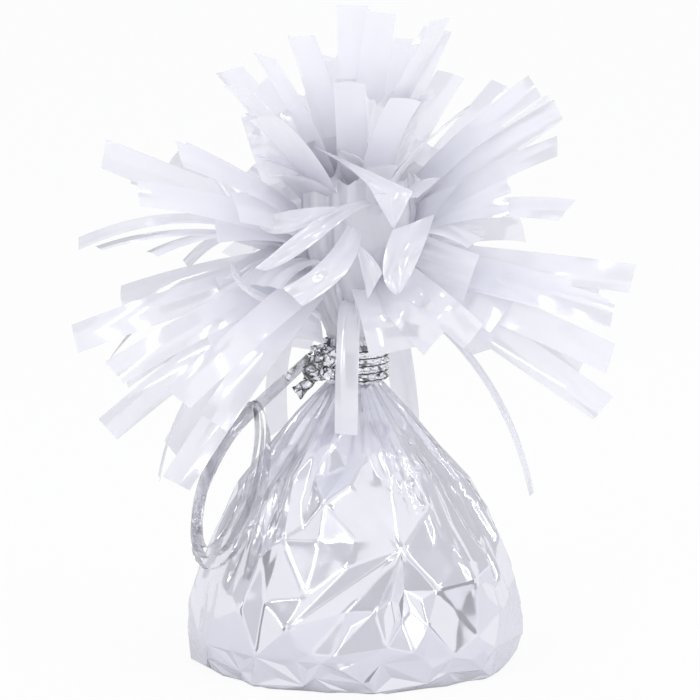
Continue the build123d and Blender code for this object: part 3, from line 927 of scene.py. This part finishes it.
def back_strips():
    """The strips of the hidden side, row by row, as the two fans that they belong to."""
    fans = {"fringe_back_upper": [], "fringe_back_lower": []}
    for row, (rise, first, count, step, bow) in enumerate(BACK_ROWS):
        name = "fringe_back_upper" if row < 2 else "fringe_back_lower"
        for index in range(count):
            fans[name].append((first + step * index, rise, BACK_TURN * sin(2.1 * index + row), bow))
    return fans


def under_strip(chance, bearing, rise, turn, bow, reach_share=1, width_share=1):
    """A shorter strip that lies behind another one and fills the fan."""
    aside, up, over, shorter, wider = (chance.uniform(*ends) for ends in UNDER_RANGES)
    return bearing + aside, rise + up, turn + over, bow, reach_share * shorter, width_share * wider


def edge_place(points, share):
    """A point on a smooth line through an edge's points."""
    last = len(points) - 1
    result = Vector((0, 0, 0))
    for index, point in enumerate(points):
        weight = 1.0
        for other in range(last + 1):
            if other != index:
                weight *= (share * last - other) / (index - other)
        result += Vector(point) * weight
    return result


def flap_place(index, first, second):
    """Where the points of one flap lie: from one edge to the other, with a crease along it."""

    def place(u, v):
        crease = FLAP_CREASE * noise.noise(Vector((2.3 * u + 7 * index, 1.9 * v, 0)))
        crease += FLAP_CREASE * zigzag(2.6 * v + 0.7 * u + 0.37 * index)
        return edge_place(first, u).lerp(edge_place(second, u), v) + Vector((0, crease, 0))

    return place


def front_flaps():
    """Folded flaps of film across the front of the tuft."""
    return [laid_grid("flap", FLAP_GRID, flap_place(index, *edges)) for index, edges in enumerate(FLAPS)]


def fan_film(name, strips, flaps):
    """The grids of one fan's strips, webs and second layer, and how many strips they are cut from."""
    chance = random.Random(name)
    places = [strip_place(chance, *strip) for strip in strips]
    film = [laid_grid("strip", STRIP_GRID, place) for place in places]
    for first, second in zip(places, places[1:]):
        web = web_between(chance, first, second, UNCUT.get(name, LEAST_UNCUT))
        if web:
            film.append(web)
    if flaps:
        return film + flaps, FRONT_STRIPS
    backed = [strip for strip in strips if strip[1] > LOWEST_BACKED]
    for strip in backed:
        film.append(laid_grid("under", UNDER_GRID, strip_place(chance, *under_strip(chance, *strip))))
    return film, len(strips) + len(backed)


def fringe(finish):
    """Every fan as one piece of film: its strips, and the uncut sheet that they are cut from."""
    for name, strips in {**FRINGE, **back_strips()}.items():
        if name == "fringe_front":
            film, cuts = fan_film(name, strips[FOLDED_STRIPS:], front_flaps())
        else:
            film, cuts = fan_film(name, strips, [])
        fan = shade(joined(name + "_film", film), STRIP_FOLD)
        settle(fan, "film", finish, name)
        width = STRIP_WIDTH * MM * cuts


# The head of the tuft


def tuft_leaves():
    """Pleated leaves of the gathered sheet that open out of the neck between the fans."""
    chance = random.Random(LEAF_SEED)
    leaves = []
    for bearing, rise, turn in LEAVES:
        reach_share = LEAF_REACH / REACH * chance.uniform(*LEAF_REACHES)
        width_share = LEAF_WIDTH / STRIP_WIDTH * chance.uniform(*LEAF_WIDTHS)
        place = strip_place(
            chance, bearing, rise, turn, LEAF_BOW, reach_share, width_share, LEAF_PLEATS, LEAF_DEPTH
        )
        leaves.append(laid_grid("leaf", LEAF_GRID, place))
    return leaves


def front_cup():
    """The uncut sheet that flares out of the neck in front, in sharp pleats that wander."""
    first, last = CUP_BEARINGS

    def place(u, v):
        height, radius, depth = between(CUP, v)
        bearing = first + (last - first) * u
        phase = bearing / CUP_PLEAT + 0.8 * noise.noise(Vector((bearing / 40, 1.7 * v, 2.2)))
        fold = zigzag(phase) - 0.5 + 0.4 * (zigzag(2.3 * phase + 1.1 * v) - 0.5)
        radius += depth * fold
        height += 3 * v * v * noise.noise(Vector((bearing / 9, 0, 4.1)))
        return direction(bearing, 0) * radius + UP * height

    return laid_grid("cup", CUP_GRID, place)


def tuft_head(finish):
    """The crushed middle of the tuft: the gathered sheet as it opens out above the tie."""

    def place(u, v):
        height, radius, depth = between(HEAD, v)
        bearing = 2 * pi * u
        fold = abs(sin(HEAD_PLEATS / 2 * bearing + 0.6 * sin(3 * bearing)))
        radius += depth * (fold - 0.8) + 0.8 * sin(2 * bearing + 0.3 * height) * v
        return Vector((radius * cos(bearing), radius * sin(bearing), height))

    gathers = laid_grid("tuft_gathers", HEAD_GRID, place)
    apply_modifier(gathers, "WELD", merge_threshold=0.02 * MM)
    piece = shade(joined("tuft_gathers", [gathers, front_cup(), *tuft_leaves()]), HEAD_FOLD)
    return settle(piece, "film", finish, "tuft_head")


# The silver ribbon


def neck_tie(finish):
    """The ribbon's turns round the neck, bunched into crowned bands and crinkled."""
    first = KNOT_BEARING + KNOT_OPENING * TIE_END
    last = KNOT_BEARING + 360 * TIE_TURNS - KNOT_OPENING * TIE_END
    low = TIE_MIDDLE - TIE_PITCH * TIE_TURNS / 2

    def place(u, v):
        bearing = first + (last - first) * u
        height = low + TIE_PITCH * (bearing - KNOT_BEARING) / 360 + (v - 0.5) * TIE_BAND
        spot = Vector((bearing * 0.09, v * 1.3, 3.1))
        puff = abs(sin(radians(bearing * TIE_PUFFS) + 0.9 * v + 1.3 * noise.noise(spot)))
        crown = (1 - (2 * v - 1) ** 2) * (TIE_FLAT + TIE_PUFF * puff)
        radius = TIE_RADIUS - TIE_SINK + crown
        return Vector((radius * cos(radians(bearing)), radius * sin(radians(bearing)), height))

    piece = laid_grid("tie_turns", TIE_GRID, place)
    apply_modifier(piece, "SOLIDIFY", thickness=TIE_THICKNESS * MM, offset=0)
    shade(piece, TIE_FOLD)
    return settle(piece, "silver", finish, "neck_tie")


def knot_centre():
    """The middle of the knot, which sits against the tie."""
    angle = radians(KNOT_BEARING)
    distance = TIE_RADIUS + SEAT_GAP + KNOT_RADIUS * KNOT_SEAT
    return Vector((distance * cos(angle), distance * sin(angle), TIE_MIDDLE))


def hank_frame():
    """The hank's origin at the knot and its three ways."""
    down = HANK_DROP.normalized()
    face = (HANK_FACE - down * HANK_FACE.dot(down)).normalized()
    across = face.cross(down)
    origin = knot_centre() + face * LEAD_OFFSET - across * (KNOT_RADIUS + SEAT_GAP)
    return origin, down, across, face


def crushed_lump(place, size):
    """A ball of ribbon crushed into small flat facets."""
    deselect()
    bpy.ops.mesh.primitive_ico_sphere_add(subdivisions=3, radius=1)
    lump = bpy.context.object
    for point in lump.data.vertices:
        way = point.co.copy()
        crush = 1 + CRUSH_DEPTH * noise.noise(way * CRUSH_SCALE + place)
        crush += WRINKLE_DEPTH * noise.noise(way * WRINKLE_SCALE - place)
        point.co = (knot_centre() + place + Vector(a * b for a, b in zip(way, size)) * crush) * MM
    return lump


def knot_tail():
    """The ribbon's cut end out of the knot, pleated where it was pulled through."""
    _, down, across, face = hank_frame()
    way = (down - across * TAIL_LEAN).normalized()
    side = face.cross(way)
    start = knot_centre() - UP * KNOT_HEIGHT * TAIL_DROP + way * TAIL_START + face * TAIL_LIFT

    def place(u, v):
        spread = side * (v - 0.5) * RIBBON_WIDTH * (0.5 + 0.7 * u)
        pleat = TAIL_PLEAT * zigzag(3.5 * u + 1.8 * v)
        return start + way * TAIL_LENGTH * u + spread + face * pleat

    return laid_grid("tail", TAIL_GRID, place)


def tie_knot(finish):
    """The knot: ribbon drawn into crumpled lumps, with its cut end."""
    lumps = [crushed_lump(Vector(place), size) for place, size in LUMPS]
    knot = shade(joined("knot_lump", lumps + [knot_tail()]), KNOT_FOLD)
    return settle(knot, "silver", finish, "tie_knot", "ribbon_tail")


def hank_route():
    """The ribbon's points from the knot through loops that shrink and fan out a little."""
    origin, down, across, face = hank_frame()
    flat = list(LEAD_POINTS)
    axis = Vector((HANK_FOOT[0] - HANK_TOP[0], HANK_FOOT[1] - HANK_TOP[1]))
    side = Vector((-axis.y, axis.x)).normalized()
    for step in range(FIRST_POINT, HANK_LOOPS * LOOP_POINTS):
        loop = step / LOOP_POINTS
        angle = 2 * pi * loop
        along = (1 - cos(angle)) / 2 * (1 - LOOP_SHORTEN * loop) + LOOP_SLIP * loop
        low = abs(sin(angle / 2))
        broad = HANK_BREADTH * (FIRST_BREADTH - LOOP_SHRINK * loop)
        breadth = sin(angle) * (broad * low + APEX_BREADTH * (1 - low))
        spot = Vector(HANK_TOP) + axis * along - side * breadth
        out = HANK_STANDOFF + HANK_FAN * loop + LOOP_WAVE * sin(2 * angle)
        flat.append((spot.x, spot.y, out))
    return [origin + down * x + across * y + face * z for x, y, z in flat]


def route_line(name, points):
    """A smooth line along a route: the points of its NURBS spline, in millimetres."""
    curve = bpy.data.curves.new(name, "CURVE")
    curve.dimensions = "3D"
    curve.resolution_u = 10
    spline = curve.splines.new("NURBS")
    spline.points.add(len(points) - 1)
    for point, place in zip(spline.points, points):
        point.co = (*place, 1)
    spline.order_u = 3
    spline.use_endpoint_u = True
    carrier = bpy.data.objects.new(name, curve)
    bpy.context.scene.collection.objects.link(carrier)
    bpy.context.view_layer.update()
    mesh = bpy.data.meshes.new_from_object(carrier)
    line = [point.co.copy() for point in mesh.vertices]
    bpy.data.objects.remove(carrier)
    bpy.data.meshes.remove(mesh)
    return line


def ribbon_turn(share):
    """How far the ribbon's flat side has turned, in degrees, at a share of its length."""
    return 8 + 14 * sin(17 * share + 0.5) + 9 * sin(41 * share)


def flat_ribbon(name, line):
    """Flat ribbon along a line, with its flat side turning as it goes."""
    points = []
    faces = []
    last = len(line) - 1
    for index, spot in enumerate(line):
        along = (line[min(index + 1, last)] - line[max(index - 1, 0)]).normalized()
        broad = (HANK_BROAD - along * HANK_BROAD.dot(along)).normalized()
        broad = Quaternion(along, radians(ribbon_turn(index / last))) @ broad
        thin = along.cross(broad)
        for a, b in ((-1, -1), (1, -1), (1, 1), (-1, 1)):
            points.append(spot + broad * a * RIBBON_WIDTH / 2 + thin * b * RIBBON_THICKNESS / 2)
    for index in range(last):
        ring = 4 * index
        for corner in range(4):
            after = (corner + 1) % 4
            faces.append((ring + corner, ring + after, ring + 4 + after, ring + 4 + corner))
    faces.append((3, 2, 1, 0))
    faces.append(tuple(4 * last + corner for corner in range(4)))
    return mesh_piece(name, points, faces)


def ribbon_hank(finish):
    """The ribbon's spare length from the knot, in loose loops."""
    line = route_line("hank_line", hank_route())
    piece = take(flat_ribbon("hank_ribbon", line))
    bpy.ops.object.mode_set(mode="EDIT")
    bpy.ops.mesh.select_all(action="SELECT")
    bpy.ops.mesh.normals_make_consistent(inside=False)
    bpy.ops.object.mode_set(mode="OBJECT")
    shade(piece, HANK_FOLD)
    settle(piece, "silver", finish, "ribbon_lead", "ribbon_hank")
    return piece


# Stage, light and camera


def stage_floor():
    """A plain white floor that keeps the object's soft shadow."""
    deselect()
    bpy.ops.mesh.primitive_plane_add(size=FLOOR_SIZE)
    floor = bpy.context.object
    floor.name = "floor"
    paint = new_paint("floor")
    path = paint.node("ShaderNodeLightPath")
    seen = FLOOR_WHITE * paint.out(path, "Is Camera Ray")
    seen = seen + FLOOR_MIRRORED * paint.out(path, "Is Glossy Ray")
    lit = paint.node("ShaderNodeBsdfDiffuse", sockets={"Color": (0.75, 0.75, 0.76, 1)})
    paint.show(paint.blend(seen, paint.out(lit), paint.light((1, 1, 1), 1)))
    floor.data.materials.append(paint.owner)


def stage_card(bearing, rise, brightness, size):
    """A card out of view, grey or bright, which the glossy film and the silver reflect."""
    deselect()
    bpy.ops.mesh.primitive_plane_add(size=1)
    card = bpy.context.object
    card.name = "card_%d_%d" % (bearing, rise)
    place = CAMERA_TARGET + direction(bearing, rise) * CARD_DISTANCE
    facing = (CAMERA_TARGET - place).to_track_quat("Z", "Y").to_matrix().to_4x4()
    card.data.transform(Matrix.Translation(place) @ facing @ Matrix.Diagonal((*size, 1, 1)))
    paint = new_paint(card.name)
    paint.show(paint.light((0.97, 0.97, 1), brightness))
    card.data.materials.append(paint.owner)
    for rays in ("camera", "diffuse", "shadow", "transmission"):
        setattr(card, "visible_" + rays, False)


def stand(name, data, place, way):
    """Stands a lamp or the camera at a place, turned along a way."""
    holder = bpy.data.objects.new(name, data)
    holder.location = place
    holder.rotation_euler = way.to_track_quat("-Z", "Y").to_euler()
    bpy.context.scene.collection.objects.link(holder)
    return holder


def softbox(name, place, size, watts):
    """A soft lamp that faces the object and shows in no reflection."""
    lamp = bpy.data.lights.new(name, "AREA")
    lamp.shape = "RECTANGLE"
    lamp.size, lamp.size_y = size
    lamp.energy = watts
    holder = stand(name, lamp, place, CAMERA_TARGET - Vector(place))
    holder.visible_glossy = False


def studio():
    """The room: white where it is seen or reflected, a soft fill elsewhere, with its lamps and cards."""
    world = bpy.data.worlds.new("studio")
    bpy.context.scene.world = world
    paint = Paint(world)
    path = paint.node("ShaderNodeLightPath")
    seen = paint.out(path, "Is Camera Ray").peak(paint.out(path, "Is Glossy Ray"))
    seen = seen.peak(paint.out(path, "Is Transmission Ray"))
    fill = paint.light((0.95, 0.96, 1), FILL, "ShaderNodeBackground")
    white = paint.light((1, 1, 1), 1, "ShaderNodeBackground")
    paint.show(paint.blend(seen, fill, white), "ShaderNodeOutputWorld")
    for lamp in LAMPS:
        softbox(*lamp)
    for cards, size in ((CARDS, CARD_SIZE), (WIDE_CARDS, WIDE_SIZE), (TUBES, TUBE_SIZE)):
        for card in cards:
            stage_card(*card, size)


def camera():
    """The camera, a little above the object and in front of it."""
    lens = bpy.data.cameras.new("camera")
    lens.lens = CAMERA_LENS
    lens.sensor_width = SENSOR_WIDTH
    back = Vector((0, -cos(radians(CAMERA_RISE)), sin(radians(CAMERA_RISE))))
    bpy.context.scene.camera = stand("camera", lens, CAMERA_TARGET + back * CAMERA_DISTANCE, -back)


def main():
    """Sets the stage, then lays every piece of the object on the frame."""
    bpy.context.scene.view_settings.view_transform = "Standard"
    camera()
    studio()
    stage_floor()
    fringe_film = pearl_film("fringe_film", **STRIP_PEARL)
    wrap_film = pearl_film("wrap_film", **WRAP_PEARL)
    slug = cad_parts["cast_slug"]
    slug.data.materials.clear()
    slug.data.materials.append(cast_filler())
    ribbon_hank(silver_ribbon())
    film_wrap(wrap_film)
    fringe(fringe_film)
    tuft_head(fringe_film)
    neck_tie(wound_silver())
    tie_knot(crushed_silver())


main()
